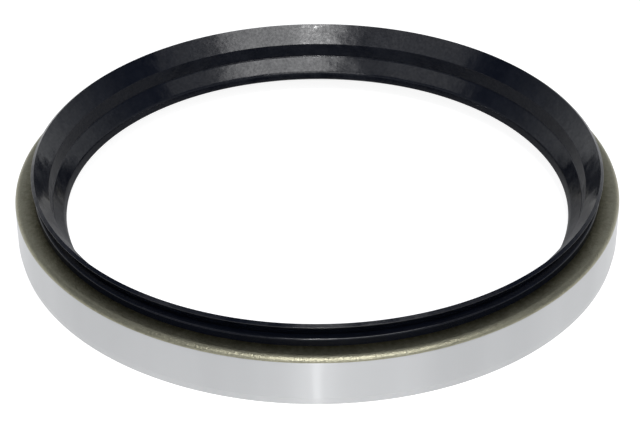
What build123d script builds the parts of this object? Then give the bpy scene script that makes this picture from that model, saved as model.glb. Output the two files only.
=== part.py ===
from build123d import *
import os
from math import cos, radians, sin, tan

# A radial shaft seal, lying on its open end. The origin is on the shaft axis, in the
# plane of the case's open end, with +Z along the shaft to the air side.
# Sizes are in millimetres, and heights are measured from the open end.

# Fit and envelope
case_diameter = 160.0
shaft_diameter = 135.0
case_width = 13.7
overall_width = 20.0

# Metal case: a drawn steel cup with its floor blanked out, ground on the outside
sheet_thickness = 1.2
bend_radius = 0.5
grinding_stock = 0.11
lead_in_length = 2.0
lead_in_depth = 0.35
flange_length = 7.0

# Rubber bonded round the inner edge of the flange
shelf_width = 5.1
collar_height = 2.1
collar_round = 0.5
edge_cover = 2.8
skirt_thickness = 1.2
skirt_overlap = 3.0

# Side lip on the air side, flared outwards
side_lip_inner_angle = 52.5
side_lip_outer_angle = 55.0
side_lip_tip = 1.05

# Throat between the side lip and the main lip
throat_top_height = 15.3
throat_draft = 13.6
throat_length = 3.3
throat_round = 0.3
flex_groove_width = 0.5
flex_groove_depth = 0.28

# Main lip: a flexing web and a head with the sealing edge
web_thickness = 1.4
web_round = 1.0
lip_interference = 1.1
edge_height = 6.0
edge_land = 0.3
air_face_angle = 16.5
air_face_length = 1.65
air_face_round = 3.0
oil_face_angle = 58.0
nose_height = 4.0
nose_round = 0.5
head_thickness = 1.45

# Garter spring and the groove that holds it
spring_coil_diameter = 2.6
spring_clearance = 0.05
spring_offset = 0.7
mouth_upper_angle = 55.0
mouth_lower_angle = 45.0
bead_thickness = 0.55
bead_width = 0.9
nose_thickness = 0.55

# Metal case
case_radius = case_diameter / 2
wall_inner_radius = case_radius - sheet_thickness
flange_radius = case_radius - flange_length
flange_underside = case_width - sheet_thickness
drawn_radius = case_radius + grinding_stock
corner_round = sheet_thickness + bend_radius

# Collar and side lip
collar_radius = case_radius - shelf_width
collar_top = case_width + collar_height
throat_radius = flange_radius - edge_cover
throat_bottom_height = throat_top_height - throat_length
throat_top_radius = throat_radius + throat_length * tan(radians(throat_draft))
tip_inner_radius = throat_top_radius + (overall_width - throat_top_height) / tan(
    radians(side_lip_inner_angle)
)
tip_outer_radius = tip_inner_radius + side_lip_tip * sin(radians(side_lip_inner_angle))
tip_outer_height = overall_width - side_lip_tip * cos(radians(side_lip_inner_angle))
neck_radius = tip_outer_radius - (tip_outer_height - collar_top) / tan(
    radians(side_lip_outer_angle)
)
skirt_radius = flange_radius + skirt_overlap
skirt_height = flange_underside - skirt_thickness

# Main lip and spring
edge_radius = (shaft_diameter - lip_interference) / 2
air_face_start_height = edge_height + edge_land / 2
air_face_top_height = air_face_start_height + air_face_length
air_face_top_radius = edge_radius + air_face_length * tan(radians(air_face_angle))
oil_face_start_height = edge_height - edge_land / 2
nose_inner_radius = edge_radius + (oil_face_start_height - nose_height) * tan(
    radians(oil_face_angle)
)
groove_radius = spring_coil_diameter / 2 + spring_clearance
spring_radius = edge_radius + head_thickness + groove_radius
spring_height = edge_height + spring_offset
spring_centre = Vector(spring_radius, spring_height)
bead_reach = groove_radius + bead_thickness
nose_reach = groove_radius + nose_thickness

# The web is a band of even thickness beside the cone from the throat to the air face
web_top = Vector(
    throat_radius - flex_groove_width * tan(radians(throat_draft)),
    throat_bottom_height - flex_groove_width,
)
flex_groove_floor = web_top + Vector(flex_groove_depth, flex_groove_width / 2)
web_bottom = Vector(air_face_top_radius, air_face_top_height)
web_direction = (web_bottom - web_top).normalized()
web_back = web_top + web_thickness * Vector(-web_direction.Y, web_direction.X)


def on_web_back(height):
    """The point on the web's oil side at a height."""
    return web_back + web_direction * ((height - web_back.Y) / web_direction.Y)


def round_spring(distance, angle):
    """The point at a distance from the spring's centre, at an angle above straight outwards."""
    return spring_centre + distance * Vector(cos(radians(angle)), sin(radians(angle)))


# The case: an L section, closed by the rubber at its inner edge. Grinding cuts the drawn
# wall to size and leaves the corner and the flange as they were drawn.
with BuildPart() as metal_case:
    with BuildSketch(Plane.XZ) as case_section:
        with BuildLine() as drawn_outline:
            FilletPolyline(
                (wall_inner_radius, 0),
                (drawn_radius, 0),
                (drawn_radius, case_width),
                (flange_radius, case_width),
                (flange_radius, flange_underside),
                (wall_inner_radius, flange_underside),
                radius=[0, 0, corner_round, 0, 0, bend_radius],
                close=True,
            )
        make_face()
        with BuildLine() as ground_away:
            Polyline(
                (case_radius - lead_in_depth, 0),
                (case_radius, lead_in_length),
                (case_radius, case_width),
                (drawn_radius + sheet_thickness, case_width),
                (drawn_radius + sheet_thickness, 0),
                close=True,
            )
        make_face(mode=Mode.SUBTRACT)
    revolve(axis=Axis.Z)

metal_case.part.label = "metal_case"

# The rubber element: one moulding, bonded round the flange. The outline runs from the
# collar's foot over the side lip, down the inside, round the head and back to the flange.
mouth_lower = spring_centre + Vector(nose_reach, -nose_reach * tan(radians(mouth_lower_angle)))
mouth_upper = round_spring(bead_reach, mouth_upper_angle)
bead_root = on_web_back(mouth_upper.Y + bead_width)

with BuildPart() as sealing_element:
    with BuildSketch(Plane.XZ) as rubber_section:
        with BuildLine() as rubber_outline:
            FilletPolyline(
                (collar_radius, case_width),
                (collar_radius, collar_top),
                (neck_radius, collar_top),
                (tip_outer_radius, tip_outer_height),
                (tip_inner_radius, overall_width),
                (throat_top_radius, throat_top_height),
                (throat_radius, throat_bottom_height),
                flex_groove_floor,
                web_top,
                web_bottom,
                (edge_radius, air_face_start_height),
                (edge_radius, oil_face_start_height),
                (nose_inner_radius, nose_height),
                (spring_radius + nose_reach, nose_height),
                mouth_lower,
                spring_centre,
                mouth_upper,
                bead_root,
                on_web_back(skirt_height),
                (skirt_radius, skirt_height),
                (skirt_radius, flange_underside),
                (flange_radius, flange_underside),
                (flange_radius, case_width),
                radius=[
                    0,
                    collar_round,
                    0,
                    0,
                    0,
                    throat_round,
                    0,
                    0,
                    0,
                    air_face_round,
                    0,
                    0,
                    nose_round,
                    nose_round,
                    0,
                    0,
                    0,
                    0,
                    web_round,
                    0,
                    0,
                    0,
                    0,
                ],
                close=True,
            )
        make_face()
        with Locations(spring_centre):
            Circle(groove_radius, mode=Mode.SUBTRACT)
    revolve(axis=Axis.Z)

sealing_element.part.label = "sealing_element"

# The garter spring: a close-wound coil joined into a ring. Its turns touch, so it is
# drawn as the ring that they fill.
with BuildPart() as garter_spring:
    with BuildSketch(Plane.XZ) as spring_section:
        with Locations(spring_centre):
            Circle(spring_coil_diameter / 2)
    revolve(axis=Axis.Z)

garter_spring.part.label = "garter_spring"

os.makedirs("parts", exist_ok=True)
export_step(metal_case.part, "parts/metal_case.step")
export_step(sealing_element.part, "parts/sealing_element.step")
export_step(garter_spring.part, "parts/garter_spring.step")
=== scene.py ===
# A radial shaft seal for a 135 mm shaft, lying on its open end with the air side up.
from math import cos, pi, radians, sin, tan

import bpy
from mathutils import Euler, Matrix, Vector


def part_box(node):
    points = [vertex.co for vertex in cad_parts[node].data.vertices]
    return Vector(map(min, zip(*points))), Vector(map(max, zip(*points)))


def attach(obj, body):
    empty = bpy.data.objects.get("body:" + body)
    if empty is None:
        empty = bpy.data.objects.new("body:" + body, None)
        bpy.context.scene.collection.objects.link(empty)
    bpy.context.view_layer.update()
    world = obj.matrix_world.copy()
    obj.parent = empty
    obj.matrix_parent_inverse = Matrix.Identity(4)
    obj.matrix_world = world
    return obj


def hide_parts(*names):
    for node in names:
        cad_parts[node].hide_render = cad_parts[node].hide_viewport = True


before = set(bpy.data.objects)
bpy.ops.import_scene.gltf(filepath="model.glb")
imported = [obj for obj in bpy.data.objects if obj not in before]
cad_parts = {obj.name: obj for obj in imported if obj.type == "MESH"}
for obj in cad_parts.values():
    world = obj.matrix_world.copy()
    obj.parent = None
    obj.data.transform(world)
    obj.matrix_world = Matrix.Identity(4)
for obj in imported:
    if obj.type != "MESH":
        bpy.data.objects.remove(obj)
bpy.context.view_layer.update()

# ---------------------------------------------------------------------------------------
# Metal case. One ring of drawn steel sheet with an L section. It is phosphated all over,
# and its outer wall is then ground to the size of the housing bore, so the wall is bright
# and the rounded corner, the flange and the inside stay olive-grey.
# ---------------------------------------------------------------------------------------

case_radius = 1000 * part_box("metal_case")[1].x
case_width = 1000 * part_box("metal_case")[1].z
sheet_thickness = 1.2
flange_length = 7.0
bend_radius = 0.5
corner_round = sheet_thickness + bend_radius
grinding_stock = 0.11
lead_in_length = 2.0
lead_in_depth = 0.35
edge_break = 0.12
shelf_width = 5.1

wall_inner_radius = case_radius - sheet_thickness
flange_radius = case_radius - flange_length
collar_radius = case_radius - shelf_width
flange_underside = case_width - sheet_thickness
# The ground wall ends where it cuts the drawn corner's arc
ground_cut = (corner_round**2 - (corner_round - grinding_stock) ** 2) ** 0.5
ground_top = case_width - corner_round + ground_cut

# Each corner is (distance from the axis, height, round), in millimetres
case_section = [
    (wall_inner_radius, 0, edge_break),
    (case_radius - lead_in_depth, 0, edge_break),
    (case_radius, lead_in_length, edge_break),
    (case_radius, case_width, corner_round),
    (flange_radius, case_width, edge_break),
    (flange_radius, flange_underside, edge_break),
    (wall_inner_radius, flange_underside, bend_radius),
]


def add_node(tree, kind, settings=None, inputs=None):
    """Adds a node to a tree. An input is given a value, or the socket that feeds it."""
    node = tree.nodes.new(kind)
    for name, value in (settings or {}).items():
        setattr(node, name, value)
    for key, value in (inputs or {}).items():
        if isinstance(value, bpy.types.NodeSocket):
            tree.links.new(value, node.inputs[key])
        else:
            node.inputs[key].default_value = value
    return node


def colour(hex_code):
    """An sRGB hex colour as linear red, green, blue and alpha."""
    shares = [int(hex_code[i : i + 2], 16) / 255 for i in (1, 3, 5)]
    return [*(s / 12.92 if s < 0.04045 else ((s + 0.055) / 1.055) ** 2.4 for s in shares), 1]


# Revolving: the section's corners are rounded, and the section is carried round the axis
revolve_tree = bpy.data.node_groups.new("revolved_section", "GeometryNodeTree")
for socket_name, socket_type, in_or_out in [
    ("Section", "NodeSocketGeometry", "INPUT"),
    ("Ring radius", "NodeSocketFloat", "INPUT"),
    ("Steps around", "NodeSocketInt", "INPUT"),
    ("Steps in a round", "NodeSocketInt", "INPUT"),
    ("Sharp over", "NodeSocketFloat", "INPUT"),
    ("Material", "NodeSocketMaterial", "INPUT"),
    ("Piece", "NodeSocketGeometry", "OUTPUT"),
]:
    revolve_tree.interface.new_socket(socket_name, in_out=in_or_out, socket_type=socket_type)
given = add_node(revolve_tree, "NodeGroupInput").outputs
outline = add_node(
    revolve_tree, "GeometryNodeMeshToCurve", inputs={"Mesh": given["Section"]}
)
round_size = add_node(
    revolve_tree,
    "GeometryNodeInputNamedAttribute",
    {"data_type": "FLOAT"},
    {"Name": "round"},
)
rounded = add_node(
    revolve_tree,
    "GeometryNodeFilletCurve",
    {"mode": "POLY"},
    {
        "Curve": outline.outputs["Curve"],
        "Count": given["Steps in a round"],
        "Radius": round_size.outputs["Attribute"],
    },
)
inwards = add_node(
    revolve_tree,
    "ShaderNodeMath",
    {"operation": "MULTIPLY"},
    {0: given["Ring radius"], 1: -1.0},
)
to_ring = add_node(
    revolve_tree, "ShaderNodeCombineXYZ", inputs={"X": inwards.outputs["Value"]}
)
profile = add_node(
    revolve_tree,
    "GeometryNodeTransform",
    inputs={
        "Geometry": rounded.outputs["Curve"],
        "Translation": to_ring.outputs["Vector"],
        "Rotation": (radians(90), 0, 0),
    },
)
ring = add_node(
    revolve_tree,
    "GeometryNodeCurvePrimitiveCircle",
    {"mode": "RADIUS"},
    {"Resolution": given["Steps around"], "Radius": given["Ring radius"]},
)
revolved = add_node(
    revolve_tree,
    "GeometryNodeCurveToMesh",
    inputs={"Curve": ring.outputs["Curve"], "Profile Curve": profile.outputs["Geometry"]},
)
merged = add_node(
    revolve_tree,
    "GeometryNodeMergeByDistance",
    inputs={"Geometry": revolved.outputs["Mesh"], "Distance": 1e-6},
)
smooth = add_node(
    revolve_tree,
    "GeometryNodeSetShadeSmooth",
    {"domain": "FACE"},
    {"Geometry": merged.outputs["Geometry"], "Shade Smooth": True},
)
edge_angle = add_node(revolve_tree, "GeometryNodeInputMeshEdgeAngle")
is_sharp = add_node(
    revolve_tree,
    "FunctionNodeCompare",
    {"data_type": "FLOAT", "operation": "GREATER_THAN"},
    {"A": edge_angle.outputs["Unsigned Angle"], "B": given["Sharp over"]},
)
creased = add_node(
    revolve_tree,
    "GeometryNodeSetShadeSmooth",
    {"domain": "EDGE"},
    {
        "Geometry": smooth.outputs["Geometry"],
        "Selection": is_sharp.outputs["Result"],
        "Shade Smooth": False,
    },
)
realized = add_node(
    revolve_tree,
    "GeometryNodeRealizeInstances",
    inputs={"Geometry": creased.outputs["Geometry"]},
)
finished = add_node(
    revolve_tree,
    "GeometryNodeSetMaterial",
    inputs={"Geometry": realized.outputs["Geometry"], "Material": given["Material"]},
)
add_node(
    revolve_tree, "NodeGroupOutput", inputs={"Piece": finished.outputs["Geometry"]}
)


def grow(name, base, tree, sizes):
    """The plain mesh that a Geometry Nodes tree makes from a base mesh and its sizes."""
    maker = bpy.data.objects.new(name, base)
    bpy.context.scene.collection.objects.link(maker)
    nodes = maker.modifiers.new("maker", "NODES")
    nodes.node_group = tree
    for item in tree.interface.items_tree:
        if item.in_out == "INPUT" and item.name in sizes:
            nodes[item.identifier] = sizes[item.name]
    weighted = maker.modifiers.new("flat faces keep their normals", "WEIGHTED_NORMAL")
    weighted.keep_sharp = True
    shown = maker.evaluated_get(bpy.context.evaluated_depsgraph_get())
    mesh = bpy.data.meshes.new_from_object(shown)
    maker.modifiers.clear()
    maker.data = mesh
    mesh.name = name
    return maker


def section_mesh(name, corners):
    """A closed outline in the XZ plane, with each corner's round kept on its point."""
    mesh = bpy.data.meshes.new(name)
    points = [(distance / 1000, 0, height / 1000) for distance, height, _ in corners]
    edges = [(i, (i + 1) % len(points)) for i in range(len(points))]
    mesh.from_pydata(points, edges, [])
    rounds = mesh.attributes.new("round", "FLOAT", "POINT")
    rounds.data.foreach_set("value", [size / 1000 for _, _, size in corners])
    return mesh


def distance_from_axis(tree, place):
    """The socket that gives how far each point of a surface is from the shaft axis."""
    flat_place = add_node(
        tree,
        "ShaderNodeVectorMath",
        {"operation": "MULTIPLY"},
        {0: place, 1: (1, 1, 0)},
    )
    distance = add_node(
        tree,
        "ShaderNodeVectorMath",
        {"operation": "LENGTH"},
        {0: flat_place.outputs["Vector"]},
    )
    return distance.outputs["Value"]


# Ground steel: bright, with fine scratches round the wall that smear reflections up and
# down. Zinc phosphate: a dull olive-grey coat of fine crystals on the steel.
ground_steel = bpy.data.materials.new("ground_steel")
ground_steel.use_nodes = True
tree = ground_steel.node_tree
shader = tree.nodes["Principled BSDF"]
shader.inputs["Metallic"].default_value = 1
shader.inputs["Roughness"].default_value = 0.28
shader.inputs["Anisotropic"].default_value = 1
shader.inputs["Anisotropic Rotation"].default_value = 0.25
place = add_node(tree, "ShaderNodeTexCoord").outputs["Object"]
# Scratches about 0.25 mm wide and 10 mm long; the real ones are finer than can be shown
scratch_place = add_node(
    tree, "ShaderNodeMapping", inputs={"Vector": place, "Scale": (100, 100, 4000)}
)
scratches = add_node(
    tree,
    "ShaderNodeTexNoise",
    inputs={"Vector": scratch_place.outputs["Vector"], "Scale": 1, "Detail": 3},
)
# Broad faint streaks up the wall, about 15 mm apart
streak_place = add_node(
    tree, "ShaderNodeMapping", inputs={"Vector": place, "Scale": (65, 65, 2)}
)
streaks = add_node(
    tree,
    "ShaderNodeTexNoise",
    inputs={"Vector": streak_place.outputs["Vector"], "Scale": 1, "Detail": 2},
)
steel_tint = add_node(
    tree,
    "ShaderNodeMix",
    {"data_type": "RGBA"},
    {
        "Factor": streaks.outputs["Fac"],
        "A": colour("#bbbcbd"),
        "B": colour("#cbcccd"),
    },
)
tree.links.new(steel_tint.outputs["Result"], shader.inputs["Base Color"])
scratch_bump = add_node(
    tree,
    "ShaderNodeBump",
    inputs={"Height": scratches.outputs["Fac"], "Strength": 0.15, "Distance": 0.00002},
)
tree.links.new(scratch_bump.outputs["Normal"], shader.inputs["Normal"])
around = add_node(
    tree, "ShaderNodeTangent", {"direction_type": "RADIAL", "axis": "Z"}
)
tree.links.new(around.outputs["Tangent"], shader.inputs["Tangent"])
# Part of the wall is polished along the scratches, and draws a lamp out into an upright bar
polished_share = 0.06
polish = add_node(
    tree,
    "ShaderNodeBsdfAnisotropic",
    {"distribution": "GGX"},
    {
        "Color": steel_tint.outputs["Result"],
        "Roughness": 0.245,
        "Anisotropy": 0.9,
        "Normal": scratch_bump.outputs["Normal"],
        "Tangent": around.outputs["Tangent"],
    },
)
part_polished = add_node(
    tree,
    "ShaderNodeMixShader",
    inputs={0: polished_share, 1: shader.outputs["BSDF"], 2: polish.outputs["BSDF"]},
)
surface = tree.nodes["Material Output"].inputs["Surface"]
tree.links.new(part_polished.outputs["Shader"], surface)

phosphate = bpy.data.materials.new("phosphated_steel")
phosphate.use_nodes = True
tree = phosphate.node_tree
shader = tree.nodes["Principled BSDF"]
shader.inputs["Metallic"].default_value = 1
place = add_node(tree, "ShaderNodeTexCoord").outputs["Object"]
# Crystals, drawn about 0.5 mm across so that they show, on patches of about 4 mm
crystals = add_node(
    tree,
    "ShaderNodeTexNoise",
    inputs={"Vector": place, "Scale": 2200, "Detail": 2},
)
patches = add_node(
    tree,
    "ShaderNodeTexNoise",
    inputs={"Vector": place, "Scale": 250, "Detail": 4},
)
coat_depth = add_node(
    tree,
    "ShaderNodeMix",
    {"data_type": "FLOAT"},
    {"Factor": 0.5, "A": crystals.outputs["Fac"], "B": patches.outputs["Fac"]},
)
coat_tint = add_node(
    tree,
    "ShaderNodeMix",
    {"data_type": "RGBA"},
    {
        "Factor": coat_depth.outputs["Result"],
        "A": colour("#8d8a77"),
        "B": colour("#b2af99"),
    },
)
# Bonding agent with painted shade: dark by the collar, fading outwards with a ragged edge
agent_and_shade_fade = add_node(
    tree,
    "ShaderNodeMapRange",
    inputs={
        "Value": distance_from_axis(tree, place),
        "From Min": collar_radius / 1000,
        "From Max": (case_radius - corner_round) / 1000,
        "To Min": 1.0,
        "To Max": 0.0,
    },
)
raggedness = 0.8
ragged_edge_noise = add_node(
    tree,
    "ShaderNodeTexNoise",
    inputs={"Vector": place, "Scale": 900, "Detail": 3},
)
ragged = add_node(
    tree,
    "ShaderNodeMath",
    {"operation": "MULTIPLY_ADD"},
    {0: ragged_edge_noise.outputs["Fac"], 1: raggedness, 2: -raggedness / 2},
)
agent_and_shade_cover = add_node(
    tree,
    "ShaderNodeMath",
    {"operation": "ADD", "use_clamp": True},
    {0: agent_and_shade_fade.outputs["Result"], 1: ragged.outputs["Value"]},
)
# The dark olive is the bonding agent and the rubber's shade on the flange, painted into the
# coat
flange_tint = add_node(
    tree,
    "ShaderNodeMix",
    {"data_type": "RGBA"},
    {
        "Factor": agent_and_shade_cover.outputs["Value"],
        "A": coat_tint.outputs["Result"],
        "B": colour("#5e5a42"),
    },
)
tree.links.new(flange_tint.outputs["Result"], shader.inputs["Base Color"])
coat_gloss = add_node(
    tree,
    "ShaderNodeMapRange",
    inputs={"Value": patches.outputs["Fac"], "To Min": 0.36, "To Max": 0.48},
)
tree.links.new(coat_gloss.outputs["Result"], shader.inputs["Roughness"])
crystal_bump = add_node(
    tree,
    "ShaderNodeBump",
    inputs={"Height": crystals.outputs["Fac"], "Strength": 1, "Distance": 0.00013},
)
tree.links.new(crystal_bump.outputs["Normal"], shader.inputs["Normal"])

case = grow(
    "dressed_case",
    section_mesh("case_section", case_section),
    revolve_tree,
    {
        "Ring radius": case_radius / 1000,
        "Steps around": 480,
        "Steps in a round": 6,
        "Sharp over": radians(35),
        "Material": phosphate,
    },
)
case.data.materials.append(ground_steel)
for face in case.data.polygons:
    on_wall = face.center.xy.length > (case_radius - lead_in_depth) / 1000
    if on_wall and face.center.z < ground_top / 1000:
        face.material_index = 1
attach(case, "root")
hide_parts("metal_case")

# ---------------------------------------------------------------------------------------
# Sealing element. One moulding of black nitrile rubber, bonded round the flange in the
# mould: a collar and a flared side lip on the air side, the throat, the flexing web and
# the head with the sealing edge. Its lips are trimmed with a knife after moulding.
# ---------------------------------------------------------------------------------------

overall_width = 1000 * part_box("sealing_element")[1].z
shaft_diameter = 135.0
lip_interference = 1.1

collar_height = 2.1
collar_round = 0.5
edge_cover = 2.8
side_lip_inner_angle = radians(52.5)
side_lip_outer_angle = radians(55)
side_lip_tip = 1.05
trimmed_round = 0.12
throat_top_height = 15.3
throat_length = 3.3
throat_draft = radians(13.6)
throat_round = 0.3
flex_groove_width = 0.5
flex_groove_depth = 0.28
flex_groove_round = 0.12

collar_top = case_width + collar_height
throat_radius = flange_radius - edge_cover
throat_bottom_height = throat_top_height - throat_length
throat_top_radius = throat_radius + throat_length * tan(throat_draft)
tip_rise = overall_width - throat_top_height
tip_inner_radius = throat_top_radius + tip_rise / tan(side_lip_inner_angle)
tip_outer_radius = tip_inner_radius + side_lip_tip * sin(side_lip_inner_angle)
tip_outer_height = overall_width - side_lip_tip * cos(side_lip_inner_angle)
neck_radius = tip_outer_radius - (tip_outer_height - collar_top) / tan(side_lip_outer_angle)

skirt_overlap = 3.0
skirt_thickness = 1.2
skirt_round = 0.5
skirt_radius = flange_radius + skirt_overlap
skirt_height = flange_underside - skirt_thickness

web_thickness = 1.4
web_round = 1.0
edge_radius = (shaft_diameter - lip_interference) / 2
edge_height = 6.0
edge_land = 0.3
air_face_angle = radians(16.5)
air_face_length = 1.65
air_face_round = 3.0
oil_face_angle = radians(58)
nose_height = 4.0
nose_round = 0.5
head_thickness = 1.45

spring_coil_diameter = 2.6
spring_clearance = 0.05
spring_offset = 0.7
groove_radius = spring_coil_diameter / 2 + spring_clearance
spring_radius = edge_radius + head_thickness + groove_radius
spring_height = edge_height + spring_offset
mouth_upper_angle = radians(55)
mouth_lower_angle = radians(45)
bead_thickness = 0.55
bead_width = 0.9
bead_round = 0.25
nose_thickness = 0.55

oil_face_start = edge_height - edge_land / 2
air_face_start = edge_height + edge_land / 2
air_face_top_height = air_face_start + air_face_length
air_face_top_radius = edge_radius + air_face_length * tan(air_face_angle)
nose_inner_radius = edge_radius + (oil_face_start - nose_height) * tan(oil_face_angle)
spring_centre = Vector((spring_radius, spring_height))

# The web is a band of even thickness beside the cone from the throat to the air face
web_top = Vector(
    (
        throat_radius - flex_groove_width * tan(throat_draft),
        throat_bottom_height - flex_groove_width,
    )
)
flex_groove_floor = web_top + Vector((flex_groove_depth, flex_groove_width / 2))
web_bottom = Vector((air_face_top_radius, air_face_top_height))
web_run = (web_bottom - web_top).normalized()
web_back = web_top + web_thickness * Vector((-web_run.y, web_run.x))


def on_web_back(height):
    """The point on the web's oil side at a height."""
    return web_back + web_run * ((height - web_back.y) / web_run.y)


def round_spring(distance, angle):
    """The point at a distance from the spring's centre, at an angle above outwards."""
    return spring_centre + distance * Vector((cos(angle), sin(angle)))


# The groove's floor runs round the back of the spring, from one side of its mouth to the other
nose_reach = groove_radius + nose_thickness
mouth_lower = spring_centre + Vector((nose_reach, -nose_reach * tan(mouth_lower_angle)))
mouth_upper = round_spring(groove_radius + bead_thickness, mouth_upper_angle)
bead_root = on_web_back(mouth_upper.y + bead_width)
groove_steps = 24
groove_turn = 2 * pi - mouth_upper_angle - mouth_lower_angle
groove_floor = [
    (*round_spring(groove_radius, -mouth_lower_angle - groove_turn * step / groove_steps), 0)
    for step in range(groove_steps + 1)
]

rubber_section = [
    (collar_radius, case_width, 0),
    (collar_radius, collar_top, collar_round),
    (neck_radius, collar_top, 0),
    (tip_outer_radius, tip_outer_height, trimmed_round),
    (tip_inner_radius, overall_width, 0),
    (throat_top_radius, throat_top_height, throat_round),
    (throat_radius, throat_bottom_height, flex_groove_round),
    (*flex_groove_floor, flex_groove_round),
    (*web_top, flex_groove_round),
    (*web_bottom, air_face_round),
    (edge_radius, air_face_start, 0),
    (edge_radius, oil_face_start, 0),
    (nose_inner_radius, nose_height, nose_round),
    (spring_radius + nose_reach, nose_height, nose_round),
    (*mouth_lower, bead_round),
    *groove_floor,
    (*mouth_upper, bead_round),
    (*bead_root, bead_round),
    (*on_web_back(skirt_height), web_round),
    (skirt_radius, skirt_height, skirt_round),
    (skirt_radius, flange_underside, 0),
    (flange_radius, flange_underside, 0),
    (flange_radius, case_width, 0),
]

# Moulded nitrile rubber: near black with a cool tinge. The mould leaves it slightly
# glossy, with a soft waviness and a fine grain.
rubber = bpy.data.materials.new("moulded_nitrile_rubber")
rubber.use_nodes = True
tree = rubber.node_tree
shader = tree.nodes["Principled BSDF"]
shader.inputs["IOR"].default_value = 1.52
place = add_node(tree, "ShaderNodeTexCoord").outputs["Object"]
# Bloom: a waxy film that rises to the surface and dulls it in cloudy patches
bloom = add_node(
    tree,
    "ShaderNodeTexNoise",
    inputs={"Vector": place, "Scale": 160, "Detail": 6, "Roughness": 0.65},
)
rubber_tint = add_node(
    tree,
    "ShaderNodeMix",
    {"data_type": "RGBA"},
    {
        "Factor": bloom.outputs["Fac"],
        "A": colour("#06080f"),
        "B": colour("#0e121d"),
    },
)
tree.links.new(rubber_tint.outputs["Result"], shader.inputs["Base Color"])
rubber_gloss = add_node(
    tree,
    "ShaderNodeMapRange",
    inputs={
        "Value": bloom.outputs["Fac"],
        "From Min": 0.35,
        "From Max": 0.65,
        "To Min": 0.13,
        "To Max": 0.25,
    },
)
tree.links.new(rubber_gloss.outputs["Result"], shader.inputs["Roughness"])
# Specks of filler and dust, about 0.7 mm apart
grain = add_node(
    tree, "ShaderNodeTexNoise", inputs={"Vector": place, "Scale": 1400, "Detail": 3}
)
rubber_shine = add_node(
    tree,
    "ShaderNodeMapRange",
    inputs={
        "Value": grain.outputs["Fac"],
        "From Min": 0.35,
        "From Max": 0.65,
        "To Min": 0.4,
        "To Max": 0.6,
    },
)
# The collar's side is dull where the mould's flash was trimmed off
split_place = add_node(tree, "ShaderNodeSeparateXYZ", inputs={"Vector": place})
trimmed_shine = 0.2
shine_inside = add_node(
    tree,
    "ShaderNodeMapRange",
    inputs={
        "Value": distance_from_axis(tree, place),
        "From Min": (collar_radius - collar_round) / 1000,
        "From Max": collar_radius / 1000,
        "To Min": 1.0,
        "To Max": trimmed_shine,
    },
)
shine_above = add_node(
    tree,
    "ShaderNodeMapRange",
    inputs={
        "Value": split_place.outputs["Z"],
        "From Min": (collar_top - collar_round) / 1000,
        "From Max": collar_top / 1000,
        "To Min": trimmed_shine,
        "To Max": 1.0,
    },
)
untrimmed = add_node(
    tree,
    "ShaderNodeMath",
    {"operation": "MAXIMUM"},
    {0: shine_inside.outputs["Result"], 1: shine_above.outputs["Result"]},
)
shine = add_node(
    tree,
    "ShaderNodeMath",
    {"operation": "MULTIPLY"},
    {0: rubber_shine.outputs["Result"], 1: untrimmed.outputs["Value"]},
)
tree.links.new(shine.outputs["Value"], shader.inputs["Specular IOR Level"])
# Soft waves about 7 mm apart, under the grain
waves = add_node(
    tree, "ShaderNodeTexNoise", inputs={"Vector": place, "Scale": 150, "Detail": 2}
)
wave_bump = add_node(
    tree,
    "ShaderNodeBump",
    inputs={"Height": waves.outputs["Fac"], "Strength": 1, "Distance": 0.00015},
)
grain_bump = add_node(
    tree,
    "ShaderNodeBump",
    inputs={
        "Height": grain.outputs["Fac"],
        "Strength": 0.5,
        "Distance": 0.00003,
        "Normal": wave_bump.outputs["Normal"],
    },
)
tree.links.new(grain_bump.outputs["Normal"], shader.inputs["Normal"])

rubber_piece = grow(
    "dressed_rubber",
    section_mesh("rubber_section", rubber_section),
    revolve_tree,
    {
        "Ring radius": flange_radius / 1000,
        "Steps around": 480,
        "Steps in a round": 5,
        "Sharp over": radians(32),
        "Material": rubber,
    },
)
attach(rubber_piece, "root")
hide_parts("sealing_element")

# ---------------------------------------------------------------------------------------
# Garter spring. Spring wire wound close into a long coil, with its ends joined so that it
# makes a ring. It lies in the groove behind the sealing edge and pulls it on to the shaft.
# ---------------------------------------------------------------------------------------

spring_wire = 0.45
wire_sides = 6
steps_in_turn = 10
coil_radius = (spring_coil_diameter - spring_wire) / 2
turns = round(2 * pi * spring_radius / spring_wire)

coil_tree = bpy.data.node_groups.new("closed_coil", "GeometryNodeTree")
for socket_name, socket_type, in_or_out in [
    ("Base", "NodeSocketGeometry", "INPUT"),
    ("Ring radius", "NodeSocketFloat", "INPUT"),
    ("Ring height", "NodeSocketFloat", "INPUT"),
    ("Coil radius", "NodeSocketFloat", "INPUT"),
    ("Wire radius", "NodeSocketFloat", "INPUT"),
    ("Turns", "NodeSocketInt", "INPUT"),
    ("Steps in a turn", "NodeSocketInt", "INPUT"),
    ("Wire sides", "NodeSocketInt", "INPUT"),
    ("Material", "NodeSocketMaterial", "INPUT"),
    ("Piece", "NodeSocketGeometry", "OUTPUT"),
]:
    coil_tree.interface.new_socket(socket_name, in_out=in_or_out, socket_type=socket_type)
given = add_node(coil_tree, "NodeGroupInput").outputs
step_count = add_node(
    coil_tree,
    "ShaderNodeMath",
    {"operation": "MULTIPLY"},
    {0: given["Turns"], 1: given["Steps in a turn"]},
)
closed_line = add_node(
    coil_tree,
    "GeometryNodeCurvePrimitiveCircle",
    {"mode": "RADIUS"},
    {"Resolution": step_count.outputs["Value"], "Radius": given["Ring radius"]},
)
step_index = add_node(coil_tree, "GeometryNodeInputIndex")
share = add_node(
    coil_tree,
    "ShaderNodeMath",
    {"operation": "DIVIDE"},
    {0: step_index.outputs["Index"], 1: step_count.outputs["Value"]},
)
ring_turn = add_node(
    coil_tree,
    "ShaderNodeMath",
    {"operation": "MULTIPLY"},
    {0: share.outputs["Value"], 1: 2 * pi},
)
coil_turn = add_node(
    coil_tree,
    "ShaderNodeMath",
    {"operation": "MULTIPLY"},
    {0: ring_turn.outputs["Value"], 1: given["Turns"]},
)
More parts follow.
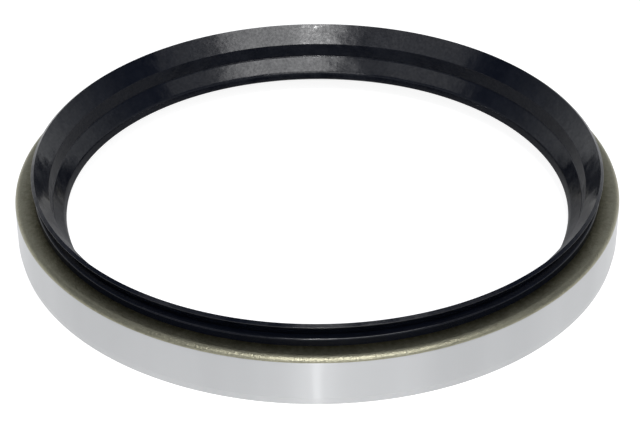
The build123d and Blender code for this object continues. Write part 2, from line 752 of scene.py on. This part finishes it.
coil_out = add_node(
    coil_tree, "ShaderNodeMath", {"operation": "COSINE"}, {0: coil_turn.outputs["Value"]}
)
coil_up = add_node(
    coil_tree, "ShaderNodeMath", {"operation": "SINE"}, {0: coil_turn.outputs["Value"]}
)
wire_distance = add_node(
    coil_tree,
    "ShaderNodeMath",
    {"operation": "MULTIPLY_ADD"},
    {0: coil_out.outputs["Value"], 1: given["Coil radius"], 2: given["Ring radius"]},
)
wire_height = add_node(
    coil_tree,
    "ShaderNodeMath",
    {"operation": "MULTIPLY_ADD"},
    {0: coil_up.outputs["Value"], 1: given["Coil radius"], 2: given["Ring height"]},
)
ring_cosine = add_node(
    coil_tree, "ShaderNodeMath", {"operation": "COSINE"}, {0: ring_turn.outputs["Value"]}
)
ring_sine = add_node(
    coil_tree, "ShaderNodeMath", {"operation": "SINE"}, {0: ring_turn.outputs["Value"]}
)
wire_x = add_node(
    coil_tree,
    "ShaderNodeMath",
    {"operation": "MULTIPLY"},
    {0: ring_cosine.outputs["Value"], 1: wire_distance.outputs["Value"]},
)
wire_y = add_node(
    coil_tree,
    "ShaderNodeMath",
    {"operation": "MULTIPLY"},
    {0: ring_sine.outputs["Value"], 1: wire_distance.outputs["Value"]},
)
wire_point = add_node(
    coil_tree,
    "ShaderNodeCombineXYZ",
    inputs={
        "X": wire_x.outputs["Value"],
        "Y": wire_y.outputs["Value"],
        "Z": wire_height.outputs["Value"],
    },
)
coiled = add_node(
    coil_tree,
    "GeometryNodeSetPosition",
    inputs={
        "Geometry": closed_line.outputs["Curve"],
        "Position": wire_point.outputs["Vector"],
    },
)
wire_round = add_node(
    coil_tree,
    "GeometryNodeCurvePrimitiveCircle",
    {"mode": "RADIUS"},
    {"Resolution": given["Wire sides"], "Radius": given["Wire radius"]},
)
wire = add_node(
    coil_tree,
    "GeometryNodeCurveToMesh",
    inputs={"Curve": coiled.outputs["Geometry"], "Profile Curve": wire_round.outputs["Curve"]},
)
wire_smooth = add_node(
    coil_tree,
    "GeometryNodeSetShadeSmooth",
    {"domain": "FACE"},
    {"Geometry": wire.outputs["Mesh"], "Shade Smooth": True},
)
realized = add_node(
    coil_tree,
    "GeometryNodeRealizeInstances",
    inputs={"Geometry": wire_smooth.outputs["Geometry"]},
)
finished = add_node(
    coil_tree,
    "GeometryNodeSetMaterial",
    inputs={"Geometry": realized.outputs["Geometry"], "Material": given["Material"]},
)
add_node(coil_tree, "NodeGroupOutput", inputs={"Piece": finished.outputs["Geometry"]})

# Drawn spring wire: grey steel with a film of preserving oil, darker in places
spring_steel = bpy.data.materials.new("drawn_spring_wire")
spring_steel.use_nodes = True
tree = spring_steel.node_tree
shader = tree.nodes["Principled BSDF"]
shader.inputs["Metallic"].default_value = 1
shader.inputs["Coat Weight"].default_value = 0.3
place = add_node(tree, "ShaderNodeTexCoord").outputs["Object"]
oil_film = add_node(
    tree, "ShaderNodeTexNoise", inputs={"Vector": place, "Scale": 120, "Detail": 3}
)
wire_tint = add_node(
    tree,
    "ShaderNodeMix",
    {"data_type": "RGBA"},
    {
        "Factor": oil_film.outputs["Fac"],
        "A": colour("#77746e"),
        "B": colour("#a5a29b"),
    },
)
tree.links.new(wire_tint.outputs["Result"], shader.inputs["Base Color"])
wire_gloss = add_node(
    tree,
    "ShaderNodeMapRange",
    inputs={"Value": oil_film.outputs["Fac"], "To Min": 0.24, "To Max": 0.38},
)
tree.links.new(wire_gloss.outputs["Result"], shader.inputs["Roughness"])

spring = grow(
    "wound_spring",
    bpy.data.meshes.new("spring_base"),
    coil_tree,
    {
        "Ring radius": spring_radius / 1000,
        "Ring height": spring_height / 1000,
        "Coil radius": coil_radius / 1000,
        "Wire radius": spring_wire / 2000,
        "Turns": turns,
        "Steps in a turn": steps_in_turn,
        "Wire sides": wire_sides,
        "Material": spring_steel,
    },
)
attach(spring, "root")
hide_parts("garter_spring")

# ---------------------------------------------------------------------------------------
# Studio. White paper, a dim bluish room above a pale horizon, a wide softbox a little
# to the right, weak reflectors round it, and a small hard lamp high above the camera.
# ---------------------------------------------------------------------------------------

floor_size = 6.0
floor_mesh = bpy.data.meshes.new("floor")
half = floor_size / 2
floor_mesh.from_pydata(
    [(-half, -half, 0), (half, -half, 0), (half, half, 0), (-half, half, 0)],
    [],
    [(0, 1, 2, 3)],
)
floor = bpy.data.objects.new("floor", floor_mesh)
bpy.context.scene.collection.objects.link(floor)

paper = bpy.data.materials.new("white_paper")
paper.use_nodes = True
tree = paper.node_tree
shader = tree.nodes["Principled BSDF"]
shader.inputs["Base Color"].default_value = colour("#a4a4a4")
shader.inputs["Roughness"].default_value = 0.9
shader.inputs["Specular IOR Level"].default_value = 0.1
# The glow keeps the paper white to the camera and in the steel. Inside the ring, which
# shades the paper, it is for the camera alone.
ray = add_node(tree, "ShaderNodeLightPath").outputs
place = add_node(tree, "ShaderNodeTexCoord").outputs["Object"]
mirrored_glow = add_node(
    tree,
    "ShaderNodeMapRange",
    inputs={
        "Value": distance_from_axis(tree, place),
        "From Min": edge_radius / 1000,
        "From Max": case_radius / 1000,
        "To Min": 0.0,
        "To Max": 0.85,
    },
)
mirrored = add_node(
    tree,
    "ShaderNodeMath",
    {"operation": "ADD", "use_clamp": True},
    {0: ray["Is Glossy Ray"], 1: ray["Is Transmission Ray"]},
)
in_steel = add_node(
    tree,
    "ShaderNodeMath",
    {"operation": "MULTIPLY"},
    {0: mirrored.outputs["Value"], 1: mirrored_glow.outputs["Result"]},
)
paper_glow = 0.9
glow = add_node(
    tree,
    "ShaderNodeMath",
    {"operation": "MULTIPLY_ADD"},
    {0: ray["Is Camera Ray"], 1: paper_glow, 2: in_steel.outputs["Value"]},
)
shader.inputs["Emission Color"].default_value = (1, 1, 1, 1)
tree.links.new(glow.outputs["Value"], shader.inputs["Emission Strength"])
floor_mesh.materials.append(paper)

world = bpy.data.worlds.new("studio")
bpy.context.scene.world = world
world.use_nodes = True
tree = world.node_tree
background = tree.nodes["Background"]
direction = add_node(tree, "ShaderNodeTexCoord").outputs["Generated"]
rise = add_node(tree, "ShaderNodeSeparateXYZ", inputs={"Vector": direction})
# The room is pale at the horizon and dim above. Behind the seal the pale part is higher.
dim_room = colour("#363d4e")
backdrop_top = sin(radians(50))
backdrop_rise = add_node(
    tree,
    "ShaderNodeMapRange",
    inputs={"Value": rise.outputs["Z"], "From Min": 0.0, "From Max": backdrop_top},
)
backdrop = add_node(
    tree,
    "ShaderNodeMix",
    {"data_type": "RGBA"},
    {"Factor": backdrop_rise.outputs["Result"], "A": colour("#e6e8ea"), "B": dim_room},
)
behind = add_node(
    tree,
    "ShaderNodeMapRange",
    inputs={"Value": rise.outputs["Y"], "From Min": 0.0, "From Max": 0.7},
)
front_rise = add_node(
    tree,
    "ShaderNodeMapRange",
    inputs={"Value": rise.outputs["Z"], "From Min": 0.0, "From Max": 0.5},
)
front = add_node(
    tree,
    "ShaderNodeMix",
    {"data_type": "RGBA"},
    {"Factor": front_rise.outputs["Result"], "A": colour("#b4b8be"), "B": dim_room},
)
room = add_node(
    tree,
    "ShaderNodeMix",
    {"data_type": "RGBA"},
    {
        "Factor": behind.outputs["Result"],
        "A": front.outputs["Result"],
        "B": backdrop.outputs["Result"],
    },
)
tree.links.new(room.outputs["Result"], background.inputs["Color"])


def area_lamp(name, distance, azimuth, elevation, width, height, radiance):
    """A lamp that faces the seal. Azimuth is to the right of the camera, in degrees."""
    lamp = bpy.data.lights.new(name, "AREA")
    lamp.shape = "RECTANGLE"
    lamp.size = width
    lamp.size_y = height
    lamp.energy = radiance * pi * width * height
    turn, up = radians(azimuth), radians(elevation)
    place = distance * Vector((sin(turn) * cos(up), -cos(turn) * cos(up), sin(up)))
    holder = bpy.data.objects.new(name, lamp)
    holder.location = place
    holder.rotation_euler = (-place).to_track_quat("-Z", "Y").to_euler()
    bpy.context.scene.collection.objects.link(holder)


area_lamp("softbox", 1, azimuth=18.5, elevation=47.5, width=0.7, height=0.4, radiance=4)
area_lamp("front_card", 1, azimuth=0, elevation=27, width=0.7, height=0.15, radiance=2.5)
area_lamp("left_reflector", 1, azimuth=-58, elevation=42, width=0.5, height=0.4, radiance=0.65)
area_lamp("mid_reflector", 1, azimuth=-24, elevation=44, width=0.45, height=0.4, radiance=0.4)
area_lamp("right_reflector", 1, azimuth=61, elevation=42, width=0.45, height=0.4, radiance=0.5)
area_lamp("overhead", 1, azimuth=180, elevation=78, width=1.2, height=1.0, radiance=0.35)
area_lamp("flash", 3, azimuth=-0.5, elevation=55, width=0.1, height=0.14, radiance=520)

# ---------------------------------------------------------------------------------------
# Camera. It looks down on the seal from about a third of the way up.
# ---------------------------------------------------------------------------------------

camera_data = bpy.data.cameras.new("camera")
camera_data.sensor_width = 36
camera_data.lens = 118.125
camera = bpy.data.objects.new("camera", camera_data)
camera_distance = 0.56672
camera_elevation = radians(33.389)
camera_pitch = radians(0.184)
camera_yaw = radians(-0.084)
camera_roll = radians(-0.221)
camera.location = (
    0,
    -camera_distance * cos(camera_elevation),
    camera_distance * sin(camera_elevation),
)
aim = Euler((radians(90) - camera_elevation + camera_pitch, 0, camera_yaw)).to_matrix()
camera.rotation_euler = (aim @ Matrix.Rotation(camera_roll, 3, "Z")).to_euler()
bpy.context.scene.collection.objects.link(camera)
bpy.context.scene.camera = camera
bpy.context.scene.view_settings.view_transform = "Standard"
